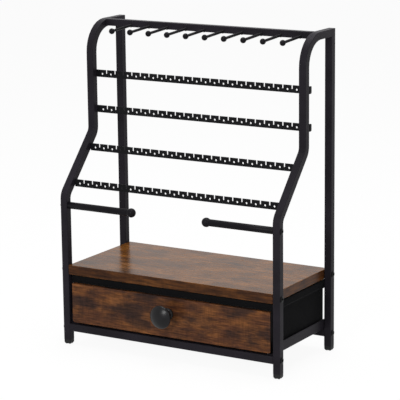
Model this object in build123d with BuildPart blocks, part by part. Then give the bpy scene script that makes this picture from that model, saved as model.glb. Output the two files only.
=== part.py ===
from build123d import *

import os
from math import atan2, cos, sin

os.makedirs("parts", exist_ok=True)

# Jewelry stand: a square-tube frame that leans back over a shelf board, with slotted
# strips, a row of ball-ended pegs, two hanging bars and a drawer under the shelf.
# Millimetres. X runs left to right, Y front to back, Z up. The origin is on the floor,
# under the centre of the overall box, which reaches from the knob to the rear posts.

# ---------------------------------------------------------------- driving sizes

# Frame as a whole.
frame_width = 361.0
frame_depth = 164.5
frame_height = 467.5

# Square steel tube of the side frames and end rails.
tube_size = 11.0
tube_wall = 1.2
tube_corner = 1.0

# Bends of the front tubes, all on the tube's centre line.
lower_bend_height = 224.2
upper_bend_height = 306.3
slope_setback = 75.5
slope_bend_radius = 18.0
top_bend_radius = 40.0

# End rails run from side to side. The side rails are angles bent from sheet: they lie
# on the end rails between the posts, and the drawer runs on their lower legs.
end_rail_bottom = 20.7
side_rail_height = 15.0
side_rail_width = 12.0
side_rail_sheet = 1.5
side_rail_bend_radius = 1.8
side_rail_lap = 5.5

# Plastic feet: a rounded cap below the tube and a plug inside it.
foot_height = 7.0
foot_corner = 1.4
foot_round = 3.5
foot_plug_length = 12.0
foot_plug_clearance = 0.1

# Shelf board.
shelf_bottom = 106.5
shelf_thickness = 14.0
shelf_edge_radius = 1.0

# Slotted strips: bent steel sheet with a row of holes and a comb of open slots.
strip_height = 10.6
strip_sheet = 1.2
strip_flange = 6.5
strip_bend_radius = 1.6
strip_corner = 2.0
top_strip_height = 390.7
second_strip_height = 338.2
third_strip_height = 285.0
bottom_strip_height = 239.0
strip_behind_slope_axis = 2.6
strip_hole_count = 23
strip_hole_margin = 8.9
strip_hole_radius = 1.5
strip_hole_drop = 0.6
strip_slot_width = 2.2
strip_slot_depth = 5.3

# Crossbar between the top runs, of a slightly smaller tube, and its row of pegs.
crossbar_size = 10.0
crossbar_forward = 8.5
peg_count = 10
peg_left_margin = 43.1
peg_right_margin = 17.5
peg_radius = 2.0
peg_ball_radius = 4.25
peg_reach = 50.0
peg_drop = 2.7
peg_root_above_bar_bottom = 2.6

# Hanging bars: round rods with a ball at the free end, in the plane of the front posts.
hanging_bar_height = 208.7
hanging_bar_radius = 5.0
hanging_ball_radius = 6.65
hanging_ball_offset = 62.0
hanging_bar_bore_depth = 12.0

# Frame bolts, the same everywhere: a low dome head and a shank through the post.
bolt_radius = 2.5
bolt_head_radius = 4.5
bolt_head_lip = 0.7
bolt_head_height = 2.1
bolt_grip = 10.0
bolt_hole_clearance = 0.15
thread_clearance = 0.05
insert_length = 12.0
board_insert_radius = 4.0

# Drawer in its bay.
drawer_run_gap = 0.3
drawer_top_gap = 2.0
bin_side_gap = 4.5
bin_rear_setback = 4.0
bin_wall = 2.5
bin_corner = 2.0
hem_height = 10.7
hem_proud = 1.0
hem_to_front_gap = 0.2
base_board_thickness = 2.5
base_board_clearance = 1.0
base_board_corner = 1.5

# Wooden drawer front.
front_setback = 1.3
front_thickness = 6.0
front_side_gap = 4.5
front_rail_gap = 3.0
front_lower_corner = 3.5
front_edge_radius = 0.8

# Turned knob: base flange, neck, flared back, rounded rim and domed face.
knob_projection = 28.0
knob_base_radius = 8.5
knob_base_thickness = 2.6
knob_neck_radius = 5.4
knob_neck_position = 8.0
knob_head_radius = 16.5
knob_rim_position = 20.0
knob_rim_thickness = 3.0
knob_face_radius = 15.6
knob_back_sagitta = 1.6
knob_rim_sagitta = 0.6
knob_bore_depth = 12.0

# Drawer fasteners: one machine screw for the knob, wood screws for the front.
knob_screw_radius = 2.0
knob_screw_engagement = 10.0
front_screw_radius = 1.5
front_screw_engagement = 4.0
front_screw_inset_x = 33.7
front_screw_inset_z = 14.5
washer_thickness = 1.0
washer_overlap = 3.0
screw_head_height = 2.2
screw_head_ratio = 1.9

# ---------------------------------------------------------------- derived sizes

# The knob stands out in front of the frame, so the overall box is centred between
# the knob's face and the rear posts.
knob_reach = knob_projection - front_setback
frame_front = (knob_reach - frame_depth) / 2
frame_rear = frame_front + frame_depth

tube_half = tube_size / 2
tube_bore = tube_size - 2 * tube_wall
post_axis_x = frame_width / 2 - tube_half
inner_half = frame_width / 2 - tube_size
inner_width = 2 * inner_half

front_axis_y = frame_front + tube_half
rear_axis_y = frame_rear - tube_half
upright_axis_y = front_axis_y + slope_setback
top_axis_z = frame_height - tube_half
rail_axis_z = end_rail_bottom + tube_half
end_rail_top = end_rail_bottom + tube_size
side_rail_front_y = frame_front + tube_size - side_rail_lap
side_rail_length = frame_depth - 2 * (tube_size - side_rail_lap)
shelf_axis_z = shelf_bottom + shelf_thickness / 2
slope_run_per_rise = slope_setback / (upper_bend_height - lower_bend_height)

# The holes of a strip and the pegs are spread between margins from the side frames.
strip_levels = (
    top_strip_height,
    second_strip_height,
    third_strip_height,
    bottom_strip_height,
)
strip_hole_pitch = (inner_width - 2 * strip_hole_margin) / (strip_hole_count - 1)
peg_pitch = (inner_width - peg_left_margin - peg_right_margin) / (peg_count - 1)
first_peg_x = peg_left_margin - inner_half

bolt_hole_radius = bolt_radius + bolt_hole_clearance
thread_radius = bolt_radius + thread_clearance
bolt_length = tube_size + bolt_grip

bin_bottom = end_rail_top + side_rail_sheet + drawer_run_gap
bin_top = shelf_bottom - drawer_top_gap
bin_front_y = frame_front + front_setback + front_thickness
bin_rear_y = frame_rear - bin_rear_setback
bin_width = inner_width - 2 * bin_side_gap
bin_depth = bin_rear_y - bin_front_y
bin_centre_y = (bin_front_y + bin_rear_y) / 2
bin_inner_front_y = bin_front_y + bin_wall
wall_height = bin_top - hem_proud - bin_bottom - bin_wall

front_bottom = end_rail_top + front_rail_gap
front_top = bin_top - hem_height - hem_to_front_gap
front_width = inner_width - 2 * front_side_gap
front_height = front_top - front_bottom
front_centre_z = (front_top + front_bottom) / 2
front_face_y = frame_front + front_setback
front_screw_spacing_x = front_width - 2 * front_screw_inset_x
front_screw_spacing_z = front_height - 2 * front_screw_inset_z
knob_z = (front_bottom + bin_top) / 2

SIDES = (("left", -1), ("right", 1))


def side_plane(x, y=0.0, z=0.0):
    """Plane square to X, with its own x along Y and its own y along Z."""
    return Plane(origin=(x, y, z), x_dir=(0, 1, 0), z_dir=(1, 0, 0))


def save(part, name):
    """Label a finished piece and write it to its own file."""
    part.label = name
    export_step(part, f"parts/{name}.step")


def make_fastener(head_radius, head_height, lip, shank_radius, shank_length):
    """Screw along Z: the head's underside is at z = 0 and the shank points down."""
    with BuildPart() as fastener:
        with BuildSketch(Plane.XZ):
            with BuildLine():
                Polyline(
                    (0, head_height),
                    (0, -shank_length),
                    (shank_radius, -shank_length),
                    (shank_radius, 0),
                    (head_radius, 0),
                    (head_radius, lip),
                )
                TangentArc((0, head_height), (head_radius, lip), tangent=(1, 0))
            make_face()
        revolve(axis=Axis.Z)
    return fastener.part


# ---------------------------------------------------------------- side frames

for side_name, side in SIDES:
    post_x = side * post_axis_x

    # Front tube: post, slope, upright and top run bent from one length of tube,
    # mitred at the rear end.
    with BuildPart() as front_tube:
        with BuildLine(side_plane(post_x)):
            FilletPolyline(
                (front_axis_y, foot_height),
                (front_axis_y, lower_bend_height),
                (upright_axis_y, upper_bend_height),
                (upright_axis_y, top_axis_z),
                (frame_rear, top_axis_z),
                radius=(slope_bend_radius, slope_bend_radius, top_bend_radius),
            )
        with BuildSketch(Plane(origin=(post_x, front_axis_y, foot_height))):
            RectangleRounded(tube_size, tube_size, tube_corner)
            Rectangle(tube_bore, tube_bore, mode=Mode.SUBTRACT)
        sweep()
        with BuildSketch(side_plane(post_x, rear_axis_y, top_axis_z)):
            with BuildLine():
                Polyline(
                    (-tube_size, -tube_size),
                    (tube_size, tube_size),
                    (tube_size, -tube_size),
                    close=True,
                )
            make_face()
        extrude(amount=tube_size, both=True, mode=Mode.SUBTRACT)
        with BuildSketch(side_plane(post_x, front_axis_y)):
            with Locations((0, rail_axis_z), (0, shelf_axis_z), (0, hanging_bar_height)):
                Circle(bolt_hole_radius)
        extrude(amount=tube_size, both=True, mode=Mode.SUBTRACT)
    save(front_tube.part, f"{side_name}_front_tube")

    # Rear post, straight, with its top cut to the same mitre.
    with BuildPart() as rear_post:
        with BuildSketch(Plane(origin=(post_x, rear_axis_y, foot_height))):
            RectangleRounded(tube_size, tube_size, tube_corner)
            Rectangle(tube_bore, tube_bore, mode=Mode.SUBTRACT)
        extrude(amount=frame_height - foot_height)
        split(
            bisect_by=Plane(origin=(post_x, rear_axis_y, top_axis_z), z_dir=(0, -1, 1)),
            keep=Keep.BOTTOM,
        )
        with BuildSketch(side_plane(post_x, rear_axis_y)):
            with Locations((0, rail_axis_z), (0, shelf_axis_z)):
                Circle(bolt_hole_radius)
        extrude(amount=tube_size, both=True, mode=Mode.SUBTRACT)
    save(rear_post.part, f"{side_name}_rear_post")

    # Side rail: an angle whose upright leg is welded to the inner faces of both posts.
    with BuildPart() as side_rail:
        with BuildSketch(
            Plane(
                origin=(side * inner_half, side_rail_front_y, end_rail_top),
                x_dir=(-side, 0, 0),
                z_dir=(0, side, 0),
            )
        ):
            with BuildLine():
                FilletPolyline(
                    (0, side_rail_height),
                    (0, 0),
                    (side_rail_width, 0),
                    radius=side_rail_bend_radius,
                )
                offset(amount=side_rail_sheet, side=Side.LEFT)
            make_face()
        extrude(amount=side * side_rail_length)
    save(side_rail.part, f"{side_name}_side_rail")

    # Plastic foot under each post: a rounded cap and the plug that holds it.
    for end_name, foot_y in (("front", front_axis_y), ("rear", rear_axis_y)):
        with BuildPart() as foot:
            with BuildSketch(Plane(origin=(post_x, foot_y, 0))):
                RectangleRounded(tube_size, tube_size, foot_corner)
            extrude(amount=foot_height)
            for plane in (
                side_plane(post_x, foot_y),
                Plane(origin=(post_x, foot_y, 0), x_dir=(1, 0, 0), z_dir=(0, -1, 0)),
            ):
                with BuildSketch(plane) as cap_outline:
                    with Locations((0, foot_height / 2)):
                        Rectangle(tube_size, foot_height)
                    fillet(
                        cap_outline.vertices().group_by(Axis.Z)[0],
                        radius=foot_round,
                    )
                extrude(amount=tube_size, both=True, mode=Mode.INTERSECT)
            with BuildSketch(Plane(origin=(post_x, foot_y, foot_height))):
                Rectangle(
                    tube_bore - 2 * foot_plug_clearance,
                    tube_bore - 2 * foot_plug_clearance,
                )
            extrude(amount=foot_plug_length)
        save(foot.part, f"{side_name}_{end_name}_foot")

    # Hanging bar: rod and ball turned from one bar, tapped for the bolt at the post.
    with BuildPart() as hanging_bar:
        bar_length = inner_half - hanging_ball_offset
        with BuildSketch(
            Plane(
                origin=(side * hanging_ball_offset, front_axis_y, hanging_bar_height),
                x_dir=(0, 0, 1),
                z_dir=(0, side, 0),
            )
        ):
            Circle(hanging_ball_radius)
            with Locations((0, bar_length / 2)):
                Rectangle(2 * hanging_bar_radius, bar_length)
            split(bisect_by=Plane.YZ)
        revolve(
            axis=Axis((0, front_axis_y, hanging_bar_height), (side, 0, 0)),
        )
        with BuildSketch(
            side_plane(side * inner_half, front_axis_y, hanging_bar_height)
        ):
            Circle(thread_radius)
        extrude(amount=-side * hanging_bar_bore_depth, mode=Mode.SUBTRACT)
    save(hanging_bar.part, f"{side_name}_hanging_bar")

# ---------------------------------------------------------------- cross members

# End rails between the posts: the front one shows under the drawer.
for rail_name, rail_y in (("front", front_axis_y), ("rear", rear_axis_y)):
    with BuildPart() as end_rail:
        with BuildSketch(side_plane(-inner_half, rail_y, rail_axis_z)):
            RectangleRounded(tube_size, tube_size, tube_corner)
            Rectangle(tube_bore, tube_bore, mode=Mode.SUBTRACT)
        extrude(amount=inner_width)
    save(end_rail.part, f"{rail_name}_bottom_rail")

# Crossbar between the top runs, level with them.
crossbar_front_y = upright_axis_y + top_bend_radius - crossbar_forward
crossbar_half = crossbar_size / 2
crossbar_bore = crossbar_size - 2 * tube_wall
with BuildPart() as top_crossbar:
    with BuildSketch(
        side_plane(
            -inner_half,
            crossbar_front_y + crossbar_half,
            frame_height - crossbar_half,
        )
    ):
        RectangleRounded(crossbar_size, crossbar_size, tube_corner)
        Rectangle(crossbar_bore, crossbar_bore, mode=Mode.SUBTRACT)
    extrude(amount=inner_width)
save(top_crossbar.part, "top_crossbar")

# Pegs welded to the crossbar's front face, dipping a little towards the ball.
peg_root_z = frame_height - crossbar_size + peg_root_above_bar_bottom
peg_ball_y = crossbar_front_y - peg_reach
peg_ball_z = peg_root_z - peg_drop
peg_tilt = atan2(peg_drop, peg_reach)
for index in range(peg_count):
    peg_x = first_peg_x + index * peg_pitch
    peg_blank_length = peg_reach + crossbar_half
    with BuildPart() as peg:
        with BuildSketch(
            Plane(
                origin=(peg_x, peg_ball_y, peg_ball_z),
                x_dir=(1, 0, 0),
                z_dir=(0, -sin(peg_tilt), cos(peg_tilt)),
            )
        ):
            Circle(peg_ball_radius)
            with Locations((0, peg_blank_length / 2)):
                Rectangle(2 * peg_radius, peg_blank_length)
            split(bisect_by=Plane.YZ)
        revolve(
            axis=Axis((peg_x, peg_ball_y, peg_ball_z), (0, cos(peg_tilt), sin(peg_tilt))),
        )
        split(
            bisect_by=Plane(origin=(0, crossbar_front_y, 0), z_dir=(0, -1, 0)),
            keep=Keep.TOP,
        )
    save(peg.part, f"peg_{index + 1:02d}")

# Slotted strips. The upper two lie across the backs of the uprights, the lower two
# fit between the sloping stretches; all have the same holes and slots.
for index, strip_z in enumerate(strip_levels):
    if strip_z > upper_bend_height:
        strip_width = frame_width
        strip_front_y = upright_axis_y + tube_half
    else:
        strip_width = inner_width
        slope_axis_y = front_axis_y + (strip_z - lower_bend_height) * slope_run_per_rise
        strip_front_y = slope_axis_y + strip_behind_slope_axis
    strip_bottom = strip_z - strip_height / 2
    with BuildPart() as strip:
        # Sheet bent back at both ends.
        with BuildSketch(Plane.XY.offset(strip_bottom)):
            with BuildLine():
                FilletPolyline(
                    (-strip_width / 2, strip_front_y + strip_flange),
                    (-strip_width / 2, strip_front_y),
                    (strip_width / 2, strip_front_y),
                    (strip_width / 2, strip_front_y + strip_flange),
                    radius=strip_bend_radius,
                )
                offset(amount=strip_sheet, side=Side.LEFT)
            make_face()
        extrude(amount=strip_height)
        # Rounded corners on the free ends of the flanges.
        flange_ends = strip.faces().filter_by(Axis.Y).group_by(Axis.Y)[-1]
        fillet(flange_ends.edges().filter_by(Axis.X), radius=strip_corner)
        # Row of holes below mid-height, and slots open at the top between them.
        with BuildSketch(
            Plane(origin=(0, strip_front_y, strip_z), x_dir=(1, 0, 0), z_dir=(0, -1, 0))
        ):
            with Locations((0, -strip_hole_drop)):
                with GridLocations(strip_hole_pitch, 0, strip_hole_count, 1):
                    Circle(strip_hole_radius)
            with Locations((0, strip_height / 2)):
                with GridLocations(strip_hole_pitch, 0, strip_hole_count - 1, 1):
                    Rectangle(strip_slot_width, 2 * strip_slot_depth)
        extrude(amount=-strip_sheet, mode=Mode.SUBTRACT)
    save(strip.part, f"slotted_strip_{index + 1}")

# ---------------------------------------------------------------- shelf board

with BuildPart() as shelf_board:
    with BuildSketch(
        side_plane(-inner_half, (frame_front + frame_rear) / 2, shelf_axis_z)
    ):
        Rectangle(frame_depth, shelf_thickness)
    extrude(amount=inner_width)
    fillet(shelf_board.edges().filter_by(Axis.X), radius=shelf_edge_radius)
    for _, side in SIDES:
        with BuildSketch(side_plane(side * inner_half)):
            with Locations(
                (front_axis_y, shelf_axis_z),
                (rear_axis_y, shelf_axis_z),
            ):
                Circle(board_insert_radius)
        extrude(amount=-side * insert_length, mode=Mode.SUBTRACT)
save(shelf_board.part, "shelf_board")

# ---------------------------------------------------------------- bolted joints


def outer_seats(positions):
    """Planes on the outer faces of the side frames, one for each (y, z) and side."""
    return [
        Plane(origin=(side * frame_width / 2, y, z), z_dir=(side, 0, 0))
        for _, side in SIDES
        for y, z in positions
    ]


frame_bolt = make_fastener(
    bolt_head_radius,
    bolt_head_height,
    bolt_head_lip,
    bolt_radius,
    bolt_length,
)
board_seats = [(front_axis_y, shelf_axis_z), (rear_axis_y, shelf_axis_z)]
rail_seats = [(front_axis_y, rail_axis_z), (rear_axis_y, rail_axis_z)]
bar_seats = [(front_axis_y, hanging_bar_height)]

with BuildPart() as board_bolts:
    with Locations(*outer_seats(board_seats)):
        add(frame_bolt)
save(board_bolts.part, "board_bolts")

with BuildPart() as rail_bolts:
    with Locations(*outer_seats(rail_seats)):
        add(frame_bolt)
save(rail_bolts.part, "rail_bolts")

with BuildPart() as bar_bolts:
    with Locations(*outer_seats(bar_seats)):
        add(frame_bolt)
save(bar_bolts.part, "bar_bolts")

# Threaded inserts: round ones in the board's ends, square plugs in the end rails.
with BuildPart() as board_inserts:
    for _, side in SIDES:
        with BuildSketch(side_plane(side * inner_half)):
            with Locations(*board_seats):
                Circle(board_insert_radius)
                Circle(thread_radius, mode=Mode.SUBTRACT)
        extrude(amount=-side * insert_length)
save(board_inserts.part, "board_inserts")

with BuildPart() as rail_inserts:
    for _, side in SIDES:
        with BuildSketch(side_plane(side * inner_half)):
            with Locations(*rail_seats):
                Rectangle(tube_bore, tube_bore)
                Circle(thread_radius, mode=Mode.SUBTRACT)
        extrude(amount=-side * insert_length)
save(rail_inserts.part, "rail_inserts")

# ---------------------------------------------------------------- drawer

front_screw_holes = GridLocations(front_screw_spacing_x, front_screw_spacing_z, 2, 2)
front_screw_hole_radius = front_screw_radius + thread_clearance
knob_screw_hole_radius = knob_screw_radius + bolt_hole_clearance
knob_thread_radius = knob_screw_radius + thread_clearance
hem_bottom = bin_top - hem_height


def drawer_plane(y, z=front_centre_z):
    """Plane square to Y that faces the front, with its own x along X and y along Z."""
    return Plane(origin=(0, y, z), x_dir=(1, 0, 0), z_dir=(0, -1, 0))


# Fabric bin: a floor and four stiffened walls sewn into one cloth box, open at the top.
with BuildPart() as bin_floor:
    with BuildSketch(Plane(origin=(0, bin_centre_y, bin_bottom))):
        RectangleRounded(bin_width, bin_depth, bin_corner)
    extrude(amount=bin_wall)
save(bin_floor.part, "bin_floor")

for panel_name, panel_y, outer in (
    ("front", bin_front_y + bin_wall / 2, 0),
    ("rear", bin_rear_y - bin_wall / 2, -1),
):
    with BuildPart() as end_panel:
        with BuildSketch(Plane(origin=(0, panel_y, bin_bottom + bin_wall))):
            Rectangle(bin_width, bin_wall)
        extrude(amount=wall_height)
        fillet(
            end_panel.edges().filter_by(Axis.Z).group_by(Axis.Y)[outer],
            radius=bin_corner,
        )
        if panel_name == "front":
            with BuildSketch(drawer_plane(bin_front_y)):
                with front_screw_holes:
                    Circle(front_screw_hole_radius)
                with Locations((0, knob_z - front_centre_z)):
                    Circle(knob_screw_hole_radius)
            extrude(amount=-bin_wall, mode=Mode.SUBTRACT)
    save(end_panel.part, f"bin_{panel_name}_panel")

for side_name, side in SIDES:
    panel_x = side * (bin_width - bin_wall) / 2
    with BuildPart() as side_panel:
        with BuildSketch(Plane(origin=(panel_x, bin_centre_y, bin_bottom + bin_wall))):
            Rectangle(bin_wall, bin_depth - 2 * bin_wall)
        extrude(amount=wall_height)
    save(side_panel.part, f"bin_{side_name}_panel")

# Hem: a folded band over the rim of the bin, standing a little proud of its walls.
with BuildPart() as drawer_hem:
    with BuildSketch(Plane(origin=(0, bin_centre_y, hem_bottom))):
        RectangleRounded(
            bin_width + 2 * hem_proud,
            bin_depth + 2 * hem_proud,
            bin_corner + hem_proud,
        )
    extrude(amount=hem_height)
    with BuildSketch(Plane(origin=(0, bin_centre_y, hem_bottom))):
        RectangleRounded(bin_width, bin_depth, bin_corner)
    extrude(amount=hem_height - hem_proud, mode=Mode.SUBTRACT)
    with BuildSketch(Plane(origin=(0, bin_centre_y, hem_bottom))):
        Rectangle(bin_width - 2 * bin_wall, bin_depth - 2 * bin_wall)
    extrude(amount=hem_height, mode=Mode.SUBTRACT)
save(drawer_hem.part, "drawer_hem")

# Loose stiffening board on the floor of the bin.
with BuildPart() as bin_base_board:
    with BuildSketch(Plane(origin=(0, bin_centre_y, bin_bottom + bin_wall))):
        RectangleRounded(
            bin_width - 2 * (bin_wall + base_board_clearance),
            bin_depth - 2 * (bin_wall + base_board_clearance),
            base_board_corner,
        )
    extrude(amount=base_board_thickness)
save(bin_base_board.part, "bin_base_board")

# Wooden front with eased edges, rounded lower corners and the screw holes.
with BuildPart() as drawer_front:
    with BuildSketch(drawer_plane(bin_front_y)) as front_outline:
        Rectangle(front_width, front_height)
        fillet(
            front_outline.vertices().group_by(Axis.Z)[0],
            radius=front_lower_corner,
        )
    extrude(amount=front_thickness)
    fillet(
        drawer_front.faces().sort_by(Axis.Y)[0].edges(),
        radius=front_edge_radius,
    )
    with BuildSketch(drawer_plane(bin_front_y)):
        with front_screw_holes:
            Circle(front_screw_hole_radius)
    extrude(amount=front_screw_engagement, mode=Mode.SUBTRACT)
    with BuildSketch(drawer_plane(bin_front_y, knob_z)):
        Circle(knob_screw_hole_radius)
    extrude(amount=front_thickness, mode=Mode.SUBTRACT)
save(drawer_front.part, "drawer_front")

# Turned knob: its profile is drawn from the wood outwards and turned about its axis.
with BuildPart() as knob:
    with BuildSketch(
        Plane(origin=(0, front_face_y, knob_z), x_dir=(1, 0, 0), z_dir=(0, 0, -1))
    ):
        rim_back = (knob_head_radius, knob_rim_position)
        rim_front = (knob_face_radius, knob_rim_position + knob_rim_thickness)
        with BuildLine():
            Polyline(
                (0, knob_projection),
                (0, 0),
                (knob_base_radius, 0),
                (knob_base_radius, knob_base_thickness),
                (knob_neck_radius, knob_neck_position),
            )
            SagittaArc((knob_neck_radius, knob_neck_position), rim_back, knob_back_sagitta)
            SagittaArc(rim_back, rim_front, knob_rim_sagitta)
            TangentArc((0, knob_projection), rim_front, tangent=(1, 0))
        make_face()
    revolve(axis=Axis((0, front_face_y, knob_z), (0, -1, 0)))
    with BuildSketch(drawer_plane(front_face_y, knob_z)):
        Circle(knob_thread_radius)
    extrude(amount=knob_bore_depth, mode=Mode.SUBTRACT)
save(knob.part, "knob")

# Screws with washers, driven from inside the bin.
screw_seat_y = bin_inner_front_y + washer_thickness


def inner_seats(y, positions):
    """Planes inside the bin that face the back, one for each (x, z)."""
    return [Plane(origin=(x, y, z), z_dir=(0, 1, 0)) for x, z in positions]


front_screw_seats = [
    (x * front_screw_spacing_x / 2, front_centre_z + z * front_screw_spacing_z / 2)
    for x in (-1, 1)
    for z in (-1, 1)
]
knob_screw_seat = [(0, knob_z)]

for name, seats, radius, length in (
    (
        "front_screw",
        front_screw_seats,
        front_screw_radius,
        washer_thickness + bin_wall + front_screw_engagement,
    ),
    (
        "knob_screw",
        knob_screw_seat,
        knob_screw_radius,
        washer_thickness + bin_wall + front_thickness + knob_screw_engagement,
    ),
):
    drawer_screw = make_fastener(
        screw_head_ratio * radius,
        screw_head_height,
        screw_head_height / 2,
        radius,
        length,
    )
    with BuildPart() as screws:
        with Locations(*inner_seats(screw_seat_y, seats)):
            add(drawer_screw)
    with BuildPart() as washers:
        for seat in inner_seats(bin_inner_front_y, seats):
            with BuildSketch(seat):
                Circle(radius + washer_overlap)
                Circle(radius + bolt_hole_clearance, mode=Mode.SUBTRACT)
            extrude(amount=washer_thickness)
    if len(seats) > 1:
        save(screws.part, f"{name}s")
        save(washers.part, f"{name}_washers")
    else:
        save(screws.part, name)
        save(washers.part, f"{name}_washer")
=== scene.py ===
"""Studio scene of a jewelry stand with a drawer.

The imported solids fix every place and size. This script dresses them: powder-coated
tubes, turned pegs and knob, rustic boards, bolts, and a sewn cloth bin, in metres.
"""

import logging
import math
from contextlib import contextmanager
from dataclasses import dataclass
from enum import Enum
from typing import Callable, Iterator, Sequence

import bmesh
import bpy
from mathutils import Matrix, Vector


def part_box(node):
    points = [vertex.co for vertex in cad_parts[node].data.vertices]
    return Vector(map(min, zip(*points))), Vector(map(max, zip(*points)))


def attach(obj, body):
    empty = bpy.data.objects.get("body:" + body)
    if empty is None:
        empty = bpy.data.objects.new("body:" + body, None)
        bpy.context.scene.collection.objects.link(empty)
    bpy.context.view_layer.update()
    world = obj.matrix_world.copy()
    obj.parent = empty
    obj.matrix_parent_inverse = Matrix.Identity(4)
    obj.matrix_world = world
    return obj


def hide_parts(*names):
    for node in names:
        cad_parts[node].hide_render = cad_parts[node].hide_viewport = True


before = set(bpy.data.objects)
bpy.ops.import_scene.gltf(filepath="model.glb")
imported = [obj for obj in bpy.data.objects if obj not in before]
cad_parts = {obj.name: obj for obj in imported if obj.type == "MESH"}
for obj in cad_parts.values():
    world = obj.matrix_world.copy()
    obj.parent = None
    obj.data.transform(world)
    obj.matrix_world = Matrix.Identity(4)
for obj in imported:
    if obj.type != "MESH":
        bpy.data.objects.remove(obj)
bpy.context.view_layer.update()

LOG = logging.getLogger("jewelry_stand")

Piece = bpy.types.Object
Tree = bpy.types.NodeTree
Socket = bpy.types.NodeSocket
Inputs = dict[str | int, object]
Point = tuple[float, float]
Shades = tuple[str, ...]  # sRGB hex colours, from the deepest to the palest
Test = Callable[[object], bool]

MM = 0.001
TUBE = 11 * MM
TOUCH = 0.01 * MM  # places nearer to each other than this are the same place
X, Y, Z = range(3)
SIGN_OF_SIDE = {"left": -1, "right": 1}
WHITE = (1.0, 1.0, 1.0, 1.0)
NOISE_SPAN = (0.3, 0.7)  # most values of a noise lie between these
FILM_IOR = 1.5  # of powder coat, lacquer and most plastics
NEAR_POLE = 88  # degrees: a ball's first ring lies beside its pole, not on it


class Body(Enum):
    """The two bodies that pieces ride on."""

    STAND = "stand"
    DRAWER = "drawer"


class Slot(Enum):
    """Material slots, with the body that their new pieces ride on."""

    FRAME = ("frame_steel", Body.STAND)
    BOLT = ("bolt_steel", Body.STAND)
    FOOT = ("foot_plastic", Body.STAND)
    SHELF = ("shelf_wood", Body.STAND)
    FRONT = ("front_wood", Body.DRAWER)
    CLOTH = ("bin_fabric", Body.DRAWER)
    LINER = ("base_board", Body.DRAWER)
    KNOB = ("knob_metal", Body.DRAWER)
    SCREW = ("insert_steel", Body.DRAWER)


class Recess(Enum):
    """The driver recess in a fastener's head."""

    HEX = "hex"
    CROSS = "cross"


# ------------------------------------------------------------------ node helpers


@dataclass(frozen=True)
class Spots:
    """Real width of a noise's spots in metres, their stretch and their fineness."""

    size: float
    along: float = 1.0
    detail: float = 2.0
    roughness: float = 0.5


def linear_from_hex(code: str) -> tuple[float, float, float, float]:
    """Turns an sRGB hex colour into the linear colour that shaders use.

    Args:
        code: Colour such as "#1a181c".

    Returns:
        Red, green, blue and alpha, from 0 to 1.
    """
    digits = code.lstrip("#")
    values = [int(digits[place : place + 2], 16) / 255 for place in (0, 2, 4)]
    red, green, blue = (
        value / 12.92 if value <= 0.04045 else ((value + 0.055) / 1.055) ** 2.4
        for value in values
    )
    return red, green, blue, 1.0


def add_node(
    tree: Tree, kind: str, inputs: Inputs | None = None, **settings: object
) -> bpy.types.Node:
    """Adds a shader node with its settings, socket values and links.

    Args:
        tree: Node tree that gets the node.
        kind: Blender's type name of the node.
        inputs: Socket name or number to a value, or to an output socket to link from.
        settings: Attributes of the node itself, such as its operation.

    Returns:
        The new node.
    """
    node = tree.nodes.new(kind)
    for name, value in settings.items():
        setattr(node, name, value)
    for key, value in (inputs or {}).items():
        if isinstance(value, Socket):
            tree.links.new(value, node.inputs[key])
        else:
            node.inputs[key].default_value = value
    return node


def add_math(tree: Tree, operation: str, first: object, second: object) -> Socket:
    """Adds a calculation with two values, such as "MULTIPLY"."""
    node = add_node(tree, "ShaderNodeMath", {0: first, 1: second}, operation=operation)
    return node.outputs["Value"]


def add_mix(
    tree: Tree, share: object, under: object, over: object, blend: str = ""
) -> Socket:
    """Mixes two values, or two colours in the way that Blender calls blend.

    Args:
        tree: Node tree that gets the nodes.
        share: How much of the upper one shows.
        under: Value or colour below.
        over: Value or colour above.
        blend: Such as "MULTIPLY", or nothing for values.

    Returns:
        The mixed value or colour.
    """
    # Numbers of the node's sockets A, B and Result, which share their names.
    first, second, result = (6, 7, 2) if blend else (2, 3, 0)
    node = add_node(
        tree,
        "ShaderNodeMix",
        {"Factor": share, first: under, second: over},
        data_type="RGBA" if blend else "FLOAT",
        blend_type=blend or "MIX",
    )
    return node.outputs[result]


def seen_by_eye(tree: Tree) -> Socket:
    """Gives 1 for rays of the camera, reflections and transmission, 0 for others.

    Args:
        tree: Node tree that gets the nodes.

    Returns:
        The value.
    """
    rays = add_node(tree, "ShaderNodeLightPath").outputs
    seen = rays["Is Camera Ray"]
    for name in ("Is Glossy Ray", "Is Transmission Ray"):
        seen = add_math(tree, "MAXIMUM", seen, rays[name])
    return seen


def add_noise(tree: Tree, place: Socket, spots: Spots, shift: float = 0.0) -> Socket:
    """Adds a noise whose spots have a real size, drawn out along the first axis.

    Args:
        tree: Node tree that gets the noise.
        place: Coordinates in metres.
        spots: Size, stretch and fineness of the spots.
        shift: Offset that makes one board unlike another.

    Returns:
        The noise's value.
    """
    inputs = {
        "Vector": place,
        "Location": (shift, 1.7 * shift, 0.6 * shift),
        "Scale": (1 / spots.along, 1.0, 1.0),
    }
    inputs = {
        "Vector": add_node(tree, "ShaderNodeMapping", inputs).outputs["Vector"],
        "Scale": 1 / spots.size,
        "Detail": spots.detail,
        "Roughness": spots.roughness,
    }
    return add_node(tree, "ShaderNodeTexNoise", inputs).outputs["Fac"]


def add_range(tree: Tree, value: Socket, source: Point, target: Point) -> Socket:
    """Changes one range of values into another in a straight line, held at its ends.

    Args:
        tree: Node tree that gets the nodes.
        value: Value to change.
        source: Range that it comes from.
        target: Range that it goes to.

    Returns:
        The changed value.
    """
    ends = zip(("From Min", "From Max", "To Min", "To Max"), (*source, *target))
    inputs = {"Value": value, **dict(ends)}
    return add_node(tree, "ShaderNodeMapRange", inputs).outputs["Result"]


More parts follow.
